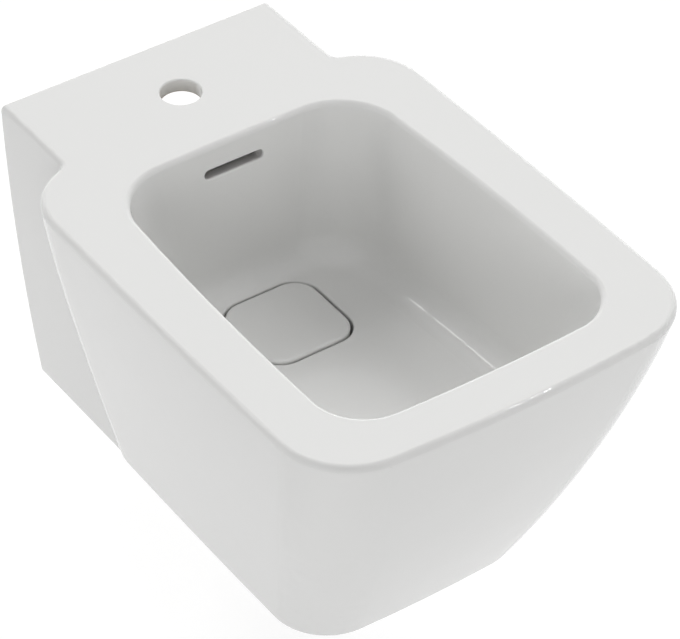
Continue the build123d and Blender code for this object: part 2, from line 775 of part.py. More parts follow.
# Fixing sleeves: nylon sleeves in the two stud bosses, with a collar against the boss's front end
with BuildPart() as fixing_sleeves:
    with BuildSketch(Plane.XZ.offset(sleeve_setback)):
        with Locations(stud_places):
            Circle(sleeve_radius)
    extrude(amount=stud_boss_length - sleeve_setback)
    with BuildSketch(Plane.XZ.offset(stud_boss_length)):
        with Locations(stud_places):
            Circle(sleeve_collar_radius)
    extrude(amount=sleeve_collar_thickness)
    with BuildSketch(Plane.XZ):
        with Locations(stud_places):
            Circle(sleeve_radius - sleeve_wall)
    extrude(amount=stud_boss_length + overrun, mode=Mode.SUBTRACT)
    with BuildSketch(Plane.XY.offset(-stud_boss_radius)):
        with Locations(clamp_places):
            Circle(clamp_hole_radius)
    extrude(amount=stud_boss_radius, mode=Mode.SUBTRACT)
fixing_sleeves.part.label = "fixing_sleeves"
export_step(fixing_sleeves.part, "parts/fixing_sleeves.step")

# Fixing blocks: brass cylinders that screw on the wall studs and take the clamp screws
with BuildPart() as fixing_blocks:
    with BuildSketch(Plane.XZ.offset(block_setback)):
        with Locations(stud_places):
            Circle(block_radius)
            Circle(stud_thread_radius, mode=Mode.SUBTRACT)
    extrude(amount=block_length)
    with BuildSketch(Plane.XY.offset(-stud_boss_radius)):
        with Locations(clamp_places):
            Circle(clamp_thread_radius + fit_gap)
    extrude(amount=stud_boss_radius, mode=Mode.SUBTRACT)
fixing_blocks.part.label = "fixing_blocks"
export_step(fixing_blocks.part, "parts/fixing_blocks.step")

# Clamp washers under the heads of the clamp screws
with BuildPart() as clamp_washers:
    with BuildSketch(Plane.XY.offset(clamp_washer_z)):
        with Locations(clamp_places):
            Circle(clamp_washer_radius)
            Circle(clamp_hole_radius, mode=Mode.SUBTRACT)
    extrude(amount=clamp_washer_thickness)
clamp_washers.part.label = "clamp_washers"
export_step(clamp_washers.part, "parts/clamp_washers.step")

# Clamp screws: socket screws from below into the fixing blocks, ending just under the stud
with BuildPart() as clamp_screws:
    with BuildSketch(Plane.XY.offset(clamp_washer_z)):
        with Locations(clamp_places):
            Circle(clamp_thread_radius)
    extrude(amount=-stud_thread_radius - running_gap - clamp_washer_z)
    with BuildSketch(Plane.XY.offset(clamp_washer_z - clamp_head_height)):
        with Locations(clamp_places):
            Circle(clamp_head_radius)
    extrude(amount=clamp_head_height)
    with BuildSketch(Plane.XY.offset(clamp_washer_z - clamp_head_height)):
        with Locations(clamp_places):
            RegularPolygon(clamp_socket_radius, 6)
    extrude(amount=clamp_socket_depth, mode=Mode.SUBTRACT)
clamp_screws.part.label = "clamp_screws"
export_step(clamp_screws.part, "parts/clamp_screws.step")
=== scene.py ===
import json
from math import cos, pi, radians, sin

import bpy
from mathutils import Matrix, Vector


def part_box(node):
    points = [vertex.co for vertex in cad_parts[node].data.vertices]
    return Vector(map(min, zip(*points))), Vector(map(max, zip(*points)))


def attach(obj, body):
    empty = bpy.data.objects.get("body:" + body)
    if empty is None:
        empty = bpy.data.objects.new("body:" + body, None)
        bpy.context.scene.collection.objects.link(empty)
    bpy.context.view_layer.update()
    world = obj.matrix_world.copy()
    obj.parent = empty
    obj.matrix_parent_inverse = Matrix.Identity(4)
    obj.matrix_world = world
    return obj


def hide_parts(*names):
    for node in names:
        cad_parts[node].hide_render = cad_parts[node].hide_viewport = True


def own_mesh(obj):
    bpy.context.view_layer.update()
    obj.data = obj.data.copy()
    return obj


bl_info = {
    "name": "Wall-hung bidet",
    "version": (1, 0, 0),
    "blender": (4, 5, 0),
    "location": "3D View > Sidebar > Bidet",
    "description": "Finishes a wall-hung bidet: glaze, threads, knurls, metals, plastics and a white stage",
    "category": "Object",
}

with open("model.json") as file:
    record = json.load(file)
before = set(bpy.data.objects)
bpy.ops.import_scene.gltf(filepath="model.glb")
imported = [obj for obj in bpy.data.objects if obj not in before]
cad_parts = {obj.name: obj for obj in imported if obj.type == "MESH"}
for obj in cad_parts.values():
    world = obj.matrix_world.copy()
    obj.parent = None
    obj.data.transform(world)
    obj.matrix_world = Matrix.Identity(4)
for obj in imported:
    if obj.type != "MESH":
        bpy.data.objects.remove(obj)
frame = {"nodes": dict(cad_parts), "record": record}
NODES = frame["nodes"]
MATERIALS = {material["slot"]: material for material in frame["record"]["materials"]}
MOUNTS = {mount["name"]: mount for mount in frame["record"]["mounts"]}
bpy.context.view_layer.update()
RIM_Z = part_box("ceramic_body")[1].z
WASTE_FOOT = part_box("waste_body")[0].z
MM = 0.001

# Focal length and width of the photograph in pixels, and sensor width in millimetres
FOCAL_PIXELS = 3489.09
PICTURE_PIXELS = 680
SENSOR_WIDTH = 36.0

# Steps of a turn, sides of the small sections, and share of its width that a knurl is sunk by
THREAD_STEPS = 40
SPRING_STEPS = 36
WIRE_SIDES = 10
KNURL_SIDES = 6
KNURL_SUNK = 0.25

# Ends and flanks of a thread: turns over which it fades, least share left, share of the pitch
FADE_TURNS = 0.6
LEAST_SHARE = 0.02
FLANK_SHARE = 0.45

# How bright the floor and the sky show in the picture, apart from the light they give
SEEN_FLOOR_GLOW = 0.85
SEEN_FLOOR_TONE = 0.22
SEEN_SKY = 1.0

# Where the lamps stand from the middle, and how far the camera sees, in metres
LAMP_DISTANCE = 3
VIEW_DEPTH = 100

# Body outlines where the glaze ends and where shade is painted inside the overflow, in metres; a pair runs
# from no mask to full mask
WALL_SIDE_Y = (-0.0015, -0.0005)
HOLLOW_TOP_Z = (0.0690, 0.0684)
DUCT_OUTER_X = (0.0355, 0.0365)
DUCT_OUTER_Y = -0.1261
BOWL_OUTER_Y = -0.1420
DUCT_FRONT_Y = (-0.1490, -0.1480)
DUCT_BACK_Y = (-0.1268, -0.1278)
DUCT_SIDE_X = (0.0300, 0.0290)
DUCT_FLOOR_Z = (-0.0920, -0.0900)
DUCT_TOP_Z = (0.066, 0.065)
SOFT_EDGE = 0.0005

# How the bowl's rear leans back with height, and half width of the side walls over height
REAR_LEAN = -0.069
MID_WALL_X = 0.1247
MID_WALL_SLOPE = 0.048
MID_WALL_BEND = -0.17

# How ragged the edge of the glaze runs, in metres
RAGGED_REAR = 0.006
RAGGED_TOP = 0.002

# Range that most of a noise lies in
MIDDLE = (0.3, 0.7)

# Far round lamps in degrees: name, azimuth, elevation, strength, width, lights surfaces, shows in gloss
LAMPS = (
    ("back_key", 145, 20, 1.50, 14, True, False),
    ("rear_soft", 190, 38, 1.04, 36, True, False),
    ("right_soft", 90, 38, 1.28, 44, True, False),
    ("top_soft", 0, 85, 0.34, 44, True, False),
    ("front_soft", -35, 4, 1.42, 44, True, False),
    ("left_soft", -112, 9, 0.31, 38, True, False),
    ("right_glint", 80, 62, 0.10, 3, False, True),
    ("rear_glint", -152, 45, 0.02, 4, False, True),
)


def base_colour(slot):
    """Colour of one of the record's material slots."""
    return tuple(MATERIALS[slot]["base_color"])


def material_of(name):
    """Material that a CAD node wears."""
    return NODES[name].material_slots[0].material


def direction(azimuth, elevation):
    """Unit vector away from the bidet, its azimuth counted from the front."""
    return Vector((sin(azimuth) * cos(elevation), -cos(azimuth) * cos(elevation), sin(elevation)))


# Sizes and colours that a user would change


class GlazeSettings(bpy.types.PropertyGroup):
    """Glaze of the ceramic body and the waste cover"""

    colour: bpy.props.FloatVectorProperty(
        name="Glaze colour",
        description="Colour of the white glaze",
        subtype="COLOR",
        default=base_colour("glazed_ceramic"),
        min=0.0,
        max=1.0,
    )
    roughness: bpy.props.FloatProperty(
        name="Gloss roughness",
        description="0 is a mirror-like glaze",
        default=0.06,
        min=0.0,
        max=1.0,
    )
    wave_size: bpy.props.FloatProperty(
        name="Wave size",
        description="Distance between the soft waves of the glaze",
        default=0.035,
        unit="LENGTH",
    )
    wave_height: bpy.props.FloatProperty(
        name="Wave height",
        description="Height of the soft waves of the glaze",
        default=0.00004,
        unit="LENGTH",
        precision=6,
    )
    bare_colour: bpy.props.FloatVectorProperty(
        name="Bare clay colour",
        description="Colour of the fired clay where the glaze is left off",
        subtype="COLOR",
        default=(0.60, 0.55, 0.47),
        min=0.0,
        max=1.0,
    )
    # The overflow colour is painted shade: a grey that stands for the shade inside the overflow duct
    overflow_shade_colour: bpy.props.FloatVectorProperty(
        name="Overflow shade",
        description="Colour of the painted shade on clay inside the overflow",
        subtype="COLOR",
        default=(0.60, 0.59, 0.58),
        min=0.0,
        max=1.0,
    )


class SpringSettings(bpy.types.PropertyGroup):
    """Return spring of the press plug"""

    wire_radius: bpy.props.FloatProperty(
        name="Wire radius",
        description="Radius of the wire of the plug's return spring",
        default=0.0005,
        unit="LENGTH",
        precision=6,
    )
    turns: bpy.props.FloatProperty(
        name="Turns",
        description="Open turns between the two closed ends",
        default=6.0,
        min=1.0,
    )


class ThreadSettings(bpy.types.PropertyGroup):
    """Threads of the waste and the fixing blocks, and knurls of the clamp screws"""

    waste_pitch: bpy.props.FloatProperty(
        name="Waste thread pitch",
        description="Pitch of the pipe thread on the waste's tail",
        default=0.002309,
        unit="LENGTH",
        precision=6,
    )
    stud_pitch: bpy.props.FloatProperty(
        name="Stud thread pitch",
        description="Pitch of the thread in the two fixing blocks",
        default=0.00175,
        unit="LENGTH",
        precision=6,
    )
    stud_share: bpy.props.FloatProperty(
        name="Threaded share",
        description="Share of a fixing block's length that is threaded",
        default=0.9,
        min=0.1,
        max=0.95,
    )
    crest: bpy.props.FloatProperty(
        name="Crest height",
        description="How far a thread crest stands off its barrel or bore",
        default=0.00035,
        unit="LENGTH",
        precision=6,
    )
    knurls: bpy.props.IntProperty(
        name="Knurls",
        description="Number of knurls round the head of a clamp screw",
        default=40,
        min=3,
    )
    knurl_width: bpy.props.FloatProperty(
        name="Knurl width",
        description="Width of one knurl",
        default=0.0007,
        unit="LENGTH",
        precision=6,
    )
    knurl_length: bpy.props.FloatProperty(
        name="Knurl length",
        description="Length of one knurl along the screw's head",
        default=0.0065,
        unit="LENGTH",
        precision=6,
    )


class StageSettings(bpy.types.PropertyGroup):
    """Floor, sky and lamps"""

    rim_height: bpy.props.FloatProperty(
        name="Rim height",
        description="Height of the bidet's rim over the floor",
        default=0.40,
        unit="LENGTH",
    )
    floor_size: bpy.props.FloatProperty(
        name="Floor size",
        description="Side of the square floor",
        default=40.0,
        unit="LENGTH",
    )
    floor_tone: bpy.props.FloatProperty(
        name="Floor tone",
        description="Share of the light that the floor returns to the bidet",
        default=0.80,
        min=0.0,
        max=1.0,
    )
    sky_strength: bpy.props.FloatProperty(
        name="Sky strength",
        description="Strength of the even light from all round",
        default=0.16,
        min=0.0,
    )
    lamp_strength: bpy.props.FloatProperty(
        name="Lamp strength",
        description="Strength of all the lamps together, 1 as set",
        default=1.0,
        min=0.0,
    )


class CameraSettings(bpy.types.PropertyGroup):
    """Point of view of the photograph"""

    azimuth: bpy.props.FloatProperty(
        name="Azimuth",
        description="Angle of the camera round the bidet, from its front",
        default=radians(-34.867),
        subtype="ANGLE",
    )
    elevation: bpy.props.FloatProperty(
        name="Elevation",
        description="Angle of the camera over the horizon",
        default=radians(39.804),
        subtype="ANGLE",
    )
    distance: bpy.props.FloatProperty(
        name="Distance",
        description="Distance from the camera to the point it looks at",
        default=2.74097,
        unit="LENGTH",
    )
    centre_y: bpy.props.FloatProperty(
        name="Centre",
        description="Point of the rim plane that the view is built on",
        default=-0.270,
        unit="LENGTH",
    )
    slide_right: bpy.props.FloatProperty(
        name="Slide right",
        description="Shift of the aim to the right of that point",
        default=0.015374,
        unit="LENGTH",
        precision=6,
    )
    slide_up: bpy.props.FloatProperty(
        name="Slide up",
        description="Shift of the aim upwards from that point",
        default=-0.081069,
        unit="LENGTH",
        precision=6,
    )
    lens: bpy.props.FloatProperty(
        name="Focal length",
        description="Focal length in millimetres on a 36 mm wide sensor",
        default=FOCAL_PIXELS / PICTURE_PIXELS * SENSOR_WIDTH,
    )


# Node trees


class Tree:
    """A node tree, with short calls that link nodes or set their sockets."""

    def __init__(self, tree):
        self.tree = tree

    def feed(self, socket, value):
        """Links another node's output to a socket, or sets the socket to a value."""
        if isinstance(value, bpy.types.NodeSocket):
            self.tree.links.new(value, socket)
        else:
            socket.default_value = value

    def maths(self, operation, *values, kind="ShaderNodeMath"):
        """One step of arithmetic."""
        step = self.tree.nodes.new(kind)
        step.operation = operation
        for socket, value in zip(step.inputs, values):
            self.feed(socket, value)
        return step.outputs[0]

    def vectors(self, operation, *values):
        """One step of arithmetic on vectors."""
        return self.maths(operation, *values, kind="ShaderNodeVectorMath")

    def band(self, value, low, high, out_low=0.0, out_high=1.0):
        """Carries value from the range low to high to another range, clamped."""
        ramp = self.tree.nodes.new("ShaderNodeMapRange")
        self.feed(ramp.inputs["Value"], value)
        self.feed(ramp.inputs["From Min"], low)
        self.feed(ramp.inputs["From Max"], high)
        self.feed(ramp.inputs["To Min"], out_low)
        self.feed(ramp.inputs["To Max"], out_high)
        return ramp.outputs["Result"]

    def seen(self):
        """1 for rays that show in the picture, straight, mirrored or through, else 0."""
        rays = self.tree.nodes.new("ShaderNodeLightPath").outputs
        mirrored = self.maths("MAXIMUM", rays["Is Camera Ray"], rays["Is Glossy Ray"])
        return self.maths("MAXIMUM", mirrored, rays["Is Transmission Ray"])


class Shader(Tree):
    """A material and its node tree."""

    def __init__(self, name):
        self.material = bpy.data.materials.new(name)
        self.material.use_nodes = True
        super().__init__(self.material.node_tree)
        self.surface = self.tree.nodes["Principled BSDF"]
        self.output = self.tree.nodes["Material Output"]
        self.place = self.tree.nodes.new("ShaderNodeTexCoord").outputs["Object"]

    def stretched(self, scale):
        """Object coordinates, multiplied by a scale for each axis."""
        mapping = self.tree.nodes.new("ShaderNodeMapping")
        self.feed(mapping.inputs["Vector"], self.place)
        self.feed(mapping.inputs["Scale"], scale)
        return mapping.outputs["Vector"]

    def noise(self, size, detail=2.0, vector=None):
        """Even noise from 0 to 1 with patches about size metres wide."""
        noise = self.tree.nodes.new("ShaderNodeTexNoise")
        self.feed(noise.inputs["Vector"], vector or self.place)
        self.feed(noise.inputs["Scale"], 1 / size)
        self.feed(noise.inputs["Detail"], detail)
        return noise.outputs["Fac"]

    def all_of(self, first, *others):
        """1 where every mask is 1."""
        mask = first
        for other in others:
            mask = self.maths("MULTIPLY", mask, other)
        return mask

    def axes(self):
        """X, Y and Z of the object coordinates."""
        split = self.tree.nodes.new("ShaderNodeSeparateXYZ")
        self.feed(split.inputs[0], self.place)
        return split.outputs

    def mixed(self, factor, first, second):
        """A colour between two colours."""
        mix = self.tree.nodes.new("ShaderNodeMix")
        mix.data_type = "RGBA"
        self.feed(mix.inputs["Factor"], factor)
        # Inputs 6 and 7 and output 2 are the ones for colours
        for socket, colour in zip(mix.inputs[6:8], (first, second)):
            self.feed(socket, colour if isinstance(colour, bpy.types.NodeSocket) else (*tuple(colour), 1))
        return mix.outputs[2]

    def bump(self, height, depth, normal=None):
        """Relief from a height of 0 to 1, depth metres deep."""
        bump = self.tree.nodes.new("ShaderNodeBump")
        self.feed(bump.inputs["Height"], height)
        self.feed(bump.inputs["Distance"], depth)
        self.feed(bump.inputs["Strength"], 1.0)
        if normal is not None:
            self.feed(bump.inputs["Normal"], normal)
        return bump.outputs["Normal"]

    def finish(self, **sockets):
        """Fills the surface's sockets, named in lower case with underscores, and returns the material."""
        for name, value in sockets.items():
            socket = self.surface.inputs[name.replace("_", " ").title().replace("Ior", "IOR")]
            if isinstance(value, tuple) and len(value) == 3:
                value = (*value, 1)
            self.feed(socket, value)
        return self.material


def shade(colour, factor):
    """A colour made darker or lighter."""
    return tuple(min(1.0, channel * factor) for channel in colour)


def dress(material, *names):
    """Gives a material to the slots of CAD nodes."""
    for name in names:
        for slot in NODES[name].material_slots:
            slot.material = material


# Materials


def bare_mask(glaze):
    """1 where the clay is bare: on the wall side, and in the rear hollow with a ragged edge."""
    x, y, z = glaze.axes()
    off_centre = glaze.maths("ABSOLUTE", x)
    ragged = glaze.maths("SUBTRACT", glaze.noise(size=0.012, detail=4.0), 0.5)
    upright = glaze.maths("MULTIPLY_ADD", z, REAR_LEAN, y)
    ragged_rear = glaze.maths("MULTIPLY_ADD", ragged, RAGGED_REAR, upright)
    front = glaze.band(off_centre, *DUCT_OUTER_X, DUCT_OUTER_Y, BOWL_OUTER_Y)
    behind = glaze.band(glaze.maths("SUBTRACT", ragged_rear, front), -SOFT_EDGE, SOFT_EDGE)
    slope = glaze.maths("MULTIPLY_ADD", z, MID_WALL_BEND, MID_WALL_SLOPE)
    mid_wall = glaze.maths("MULTIPLY_ADD", z, slope, MID_WALL_X)
    inside = glaze.band(glaze.maths("SUBTRACT", mid_wall, off_centre), 0.0, 2 * SOFT_EDGE)
    below = glaze.band(glaze.maths("MULTIPLY_ADD", ragged, RAGGED_TOP, z), *HOLLOW_TOP_Z)
    hollow = glaze.all_of(behind, inside, below)
    return glaze.maths("MAXIMUM", glaze.band(y, *WALL_SIDE_Y), hollow)


def overflow_shade_mask(glaze):
    """1 inside the overflow duct, where shade is painted into the glaze colour."""
    x, y, z = glaze.axes()
    upright = glaze.maths("MULTIPLY_ADD", z, REAR_LEAN, y)
    return glaze.all_of(
        glaze.band(upright, *DUCT_FRONT_Y),
        glaze.band(upright, *DUCT_BACK_Y),
        glaze.band(glaze.maths("ABSOLUTE", x), *DUCT_SIDE_X),
        glaze.band(z, *DUCT_FLOOR_Z),
        glaze.band(z, *DUCT_TOP_Z),
    )


def glaze_material(settings):
    """White gloss glaze with soft waves, with painted shade inside the overflow, and left off behind."""
    glaze = Shader("white_glaze")
    bare = bare_mask(glaze)
    cloud = glaze.band(glaze.noise(size=0.22, detail=1.0), 0.35, 0.65)
    white = glaze.mixed(cloud, shade(settings.colour, 0.99), settings.colour)
    grain = glaze.noise(size=0.0006, detail=3.0)
    dark_clay = shade(settings.bare_colour, 0.92)
    light_clay = shade(settings.bare_colour, 1.06)
    clay = glaze.mixed(glaze.band(grain, *MIDDLE), dark_clay, light_clay)
    bare_roughness = 0.9
    rough = glaze.maths("MULTIPLY_ADD", bare, bare_roughness - settings.roughness, settings.roughness)
    patchy = glaze.band(glaze.noise(size=0.03, detail=3.0), *MIDDLE, -0.01, 0.015)
    peel_share = 0.06
    waves = glaze.noise(size=settings.wave_size, detail=1.0)
    relief = glaze.maths("MULTIPLY_ADD", glaze.noise(size=0.0035), peel_share, waves)
    smooth = glaze.bump(relief, settings.wave_height)
    return glaze.finish(
        # The grey inside the overflow duct is painted shade
        base_color=glaze.mixed(overflow_shade_mask(glaze), glaze.mixed(bare, white, clay), settings.overflow_shade_colour),
        roughness=glaze.maths("ADD", rough, patchy),
        normal=glaze.bump(glaze.maths("MULTIPLY", grain, bare), depth=0.00025, normal=smooth),
        ior=1.52,
    )


def plastic_material(name, colour, roughness):
    """Moulded plastic with a fine spark-eroded grain and faint flow marks."""
    plastic = Shader(name)
    flow = plastic.noise(size=0.012, vector=plastic.stretched((1, 1, 0.3)))
    return plastic.finish(
        base_color=plastic.mixed(flow, shade(colour, 0.93), shade(colour, 1.04)),
        roughness=plastic.band(flow, *MIDDLE, roughness - 0.05, roughness + 0.06),
        normal=plastic.bump(plastic.noise(size=0.0005, detail=3.0), depth=0.00003),
        ior=1.5,
    )


def rubber_material(colour):
    """Black moulded rubber with a dry bloom."""
    rubber = Shader("black_rubber")
    bloom = rubber.band(rubber.noise(size=0.006, detail=4.0), 0.4, 0.75)
    return rubber.finish(
        base_color=rubber.mixed(bloom, colour, shade(colour, 2.2)),
        roughness=rubber.band(bloom, 0, 1, 0.62, 0.85),
        normal=rubber.bump(rubber.noise(size=0.0004), depth=0.00002),
        ior=1.52,
    )


def chrome_material(colour):
    """Polished chrome plate with faint polishing haze and water marks."""
    chrome = Shader("polished_chrome")
    haze = chrome.band(chrome.noise(size=0.009, detail=4.0), 0.35, 0.8)
    return chrome.finish(
        base_color=chrome.mixed(haze, colour, shade(colour, 0.9)),
        metallic=1.0,
        roughness=chrome.band(haze, 0, 1, 0.07, 0.2),
        normal=chrome.bump(chrome.noise(size=0.004, detail=1.0), depth=0.00001),
    )


def brass_material(colour):
    """Turned brass with tool rings and a light tarnish."""
    brass = Shader("turned_brass")
    rings = brass.noise(size=0.00035, vector=brass.stretched((0.05, 0.05, 1)))
    tarnish = brass.band(brass.noise(size=0.008, detail=5.0), 0.45, 0.8)
    return brass.finish(
        base_color=brass.mixed(tarnish, colour, shade(colour, 0.62)),
        metallic=1.0,
        roughness=brass.band(tarnish, 0, 1, 0.24, 0.5),
        normal=brass.bump(rings, depth=0.00001),
    )


def steel_material(colour):
    """Plain stainless steel with fine brushing."""
    steel = Shader("stainless_steel")
    strokes = steel.noise(size=0.0004, detail=3.0, vector=steel.stretched((1, 1, 0.06)))
    return steel.finish(
        base_color=steel.mixed(strokes, shade(colour, 0.85), shade(colour, 1.05)),
        metallic=1.0,
        roughness=steel.band(strokes, *MIDDLE, 0.24, 0.38),
        normal=steel.bump(strokes, depth=0.000008),
    )


# Geometry Nodes


class Recipe(Tree):
    """A Geometry Nodes tree with named inputs, set on an object and turned into a mesh."""

    def __init__(self, name):
        super().__init__(bpy.data.node_groups.new(name, "GeometryNodeTree"))
        self.start = self.tree.nodes.new("NodeGroupInput")
        self.values = {}
        self.socket("Geometry", "NodeSocketGeometry")

    def socket(self, name, kind, value=None):
        """Adds a named input and returns the socket that carries it."""
        item = self.tree.interface.new_socket(name, in_out="INPUT", socket_type=kind)
        if value is not None:
            self.values[item.identifier] = value
        return self.start.outputs[name]

    def node(self, kind, settings=None, **inputs):
        """Adds a node with its settings and inputs, and returns it."""
        node = self.tree.nodes.new(kind)
        for name, value in (settings or {}).items():
            setattr(node, name, value)
        for name, value in inputs.items():
            self.feed(node.inputs[name.replace("_", " ")], value)
        return node

    def helix(self, radius, turns, height, steps):
        """A helical line that rises along Z."""
        spiral = self.node(
            "GeometryNodeCurveSpiral",
            Resolution=steps,
            Rotations=turns,
            Start_Radius=radius,
            End_Radius=radius,
            Height=height,
            Reverse=False,
        )
        return spiral.outputs[0]

    def swept(self, line, section):
        """A section carried along a line."""
        solid = self.node("GeometryNodeCurveToMesh", Curve=line, Profile_Curve=section, Fill_Caps=True)
        return solid.outputs[0]

    def moved(self, geometry, **how):
        """A geometry shifted or turned."""
        return self.node("GeometryNodeTransform", Geometry=geometry, **how).outputs[0]

    def joined(self, *parts):
        """Several geometries as one."""
        join = self.node("GeometryNodeJoinGeometry")
        for part in parts:
            self.tree.links.new(part, join.inputs[0])
        return join.outputs[0]

    def made(self, geometry, material, name):
        """Ends the tree, evaluates it and returns the plain mesh object."""
        paint = self.socket("Material", "NodeSocketMaterial", material)
        realized = self.node("GeometryNodeRealizeInstances", Geometry=geometry)
        painted = self.node("GeometryNodeSetMaterial", Geometry=realized.outputs[0], Material=paint)
        self.tree.interface.new_socket("Geometry", in_out="OUTPUT", socket_type="NodeSocketGeometry")
        end = self.tree.nodes.new("NodeGroupOutput")
        self.tree.links.new(painted.outputs[0], end.inputs[0])
        maker = bpy.data.objects.new(name, bpy.data.meshes.new(name))
        bpy.context.scene.collection.objects.link(maker)
        modifier = maker.modifiers.new(name, "NODES")
        modifier.node_group = self.tree
        for identifier, value in self.values.items():
            modifier[identifier] = value
        bpy.context.view_layer.update()
        graph = bpy.context.evaluated_depsgraph_get()
        mesh = bpy.data.meshes.new_from_object(maker.evaluated_get(graph))
        maker.modifiers.clear()
        maker.data = mesh
        mesh.name = name
        return maker


def thread_ridge(name, material, radius, pitch, length, place, turn, crest):
    """A helical ridge of kite section, half of it sunk in the wall that it stands on."""
    recipe = Recipe(name)
    radius_in = recipe.socket("Radius", "NodeSocketFloat", radius)
    pitch_in = recipe.socket("Pitch", "NodeSocketFloat", pitch)
    length_in = recipe.socket("Length", "NodeSocketFloat", length)
    crest_in = recipe.socket("Crest", "NodeSocketFloat", crest)
    place_in = recipe.socket("Place", "NodeSocketVector", place)
    turn_in = recipe.socket("Turn", "NodeSocketRotation", turn)
    turns = recipe.maths("DIVIDE", length_in, pitch_in)
    helix = recipe.helix(radius_in, turns, length_in, THREAD_STEPS)
    upright = recipe.node("GeometryNodeSetCurveNormal", {"mode": "Z_UP"}, Curve=helix)
    along = recipe.node("GeometryNodeSplineParameter").outputs["Factor"]
    nearest = recipe.maths("MINIMUM", along, recipe.maths("SUBTRACT", 1.0, along))
    nearest_turns = recipe.maths("MULTIPLY", nearest, turns)
    fade = recipe.maths("MINIMUM", recipe.maths("DIVIDE", nearest_turns, FADE_TURNS), 1.0)
    share = recipe.maths("MAXIMUM", fade, LEAST_SHARE)
    faded = recipe.node("GeometryNodeSetCurveRadius", Curve=upright.outputs[0], Radius=share)
    flank = recipe.maths("MULTIPLY", pitch_in, FLANK_SHARE)
    section = recipe.node(
        "GeometryNodeCurvePrimitiveQuadrilateral",
        {"mode": "KITE"},
        Width=recipe.maths("MULTIPLY", crest_in, 2.0),
        Bottom_Height=flank,
        Top_Height=flank,
    )
    ridge = recipe.swept(faded.outputs[0], section.outputs[0])
    placed = recipe.moved(ridge, Translation=place_in, Rotation=turn_in)
    return recipe.made(placed, material, name)


def coil_spring(name, material, radius, wire, turns, length, place):
    """A spring of round wire with one closed turn at each end, standing on its place."""
    recipe = Recipe(name)
    radius_in = recipe.socket("Radius", "NodeSocketFloat", radius)
    wire_in = recipe.socket("Wire Radius", "NodeSocketFloat", wire)
    turns_in = recipe.socket("Turns", "NodeSocketFloat", turns)
    length_in = recipe.socket("Length", "NodeSocketFloat", length)
    place_in = recipe.socket("Place", "NodeSocketVector", place)
    rise = recipe.maths("SUBTRACT", length_in, recipe.maths("MULTIPLY", wire_in, 2.0))
    helix = recipe.helix(radius_in, turns_in, rise, SPRING_STEPS)
    circle = recipe.node("GeometryNodeCurvePrimitiveCircle", Resolution=SPRING_STEPS, Radius=radius_in)
    lift = recipe.node("ShaderNodeCombineXYZ", Z=rise)
    top_turn = recipe.moved(circle.outputs[0], Translation=lift.outputs[0])
    line = recipe.joined(helix, circle.outputs[0], top_turn)
    section = recipe.node("GeometryNodeCurvePrimitiveCircle", Resolution=WIRE_SIDES, Radius=wire_in)
    wound = recipe.swept(line, section.outputs[0])
    foot = recipe.node("ShaderNodeCombineXYZ", Z=wire_in)
    standing = recipe.vectors("ADD", place_in, foot.outputs[0])
    placed = recipe.moved(wound, Translation=standing)
    smooth = recipe.node("GeometryNodeSetShadeSmooth", Geometry=placed)
    return recipe.made(smooth.outputs[0], material, name)


def knurl_ring(name, material, radius, count, width, length, place):
    """Rows of small upright ribs round two screw heads, left and right of the middle."""
    recipe = Recipe(name)
    count_in = recipe.socket("Knurls", "NodeSocketInt", count)
    radius_in = recipe.socket("Radius", "NodeSocketFloat", radius)
    width_in = recipe.socket("Width", "NodeSocketFloat", width)
    length_in = recipe.socket("Length", "NodeSocketFloat", length)
    place_in = recipe.socket("Place", "NodeSocketVector", place)
    circle = recipe.node("GeometryNodeMeshCircle", Vertices=count_in, Radius=radius_in)
    half_width = recipe.maths("DIVIDE", width_in, 2.0)
    rib = recipe.node("GeometryNodeMeshCylinder", Vertices=KNURL_SIDES, Radius=half_width, Depth=length_in)
    ring = recipe.node("GeometryNodeInstanceOnPoints", Points=circle.outputs[0], Instance=rib.outputs["Mesh"])
    other_side = recipe.vectors("MULTIPLY", place_in, (-1, 1, 1))
    first = recipe.moved(ring.outputs[0], Translation=place_in)
    second = recipe.moved(ring.outputs[0], Translation=other_side)
    return recipe.made(recipe.joined(first, second), material, name)


# Operators


class BIDET_OT_glaze_ceramic(bpy.types.Operator):
    """Glazes the ceramic body and the waste cover"""

    bl_idname = "bidet.glaze_ceramic"
    bl_label = "Glaze the ceramic"

    def execute(self, context):
        dress(glaze_material(context.scene.bidet_glaze), "ceramic_body", "waste_cover")
        return {"FINISHED"}


class BIDET_OT_finish_plastics(bpy.types.Operator):
    """Finishes the moulded plastic pieces and the rubber rings"""

    bl_idname = "bidet.finish_plastics"
    bl_label = "Finish plastics and rubber"

    def execute(self, context):
        grey = plastic_material("grey_plastic", base_colour("carrier_plastic"), roughness=0.42)
        dress(grey, "cover_carrier", "cartridge_cap", "cartridge_housing")
        nylon = plastic_material("natural_nylon", base_colour("washer_plastic"), roughness=0.5)
        dress(nylon, "slip_washer", "fixing_sleeves", "clamp_washers")
        rubber = rubber_material(base_colour("rubber"))
        dress(rubber, "grip_ring", "plug_seal", "flange_seal", "under_seal")
        return {"FINISHED"}


class BIDET_OT_finish_metals(bpy.types.Operator):
    """Finishes the chromed, brass and steel pieces"""

    bl_idname = "bidet.finish_metals"
    bl_label = "Finish metals"

    def execute(self, context):
        dress(chrome_material(base_colour("chrome")), "plug_disc", "waste_body")
        dress(brass_material(base_colour("brass")), "plunger", "backnut", "fixing_blocks")
        dress(steel_material(base_colour("steel")), "plug_screw", "plunger_spring", "clamp_screws")
        return {"FINISHED"}


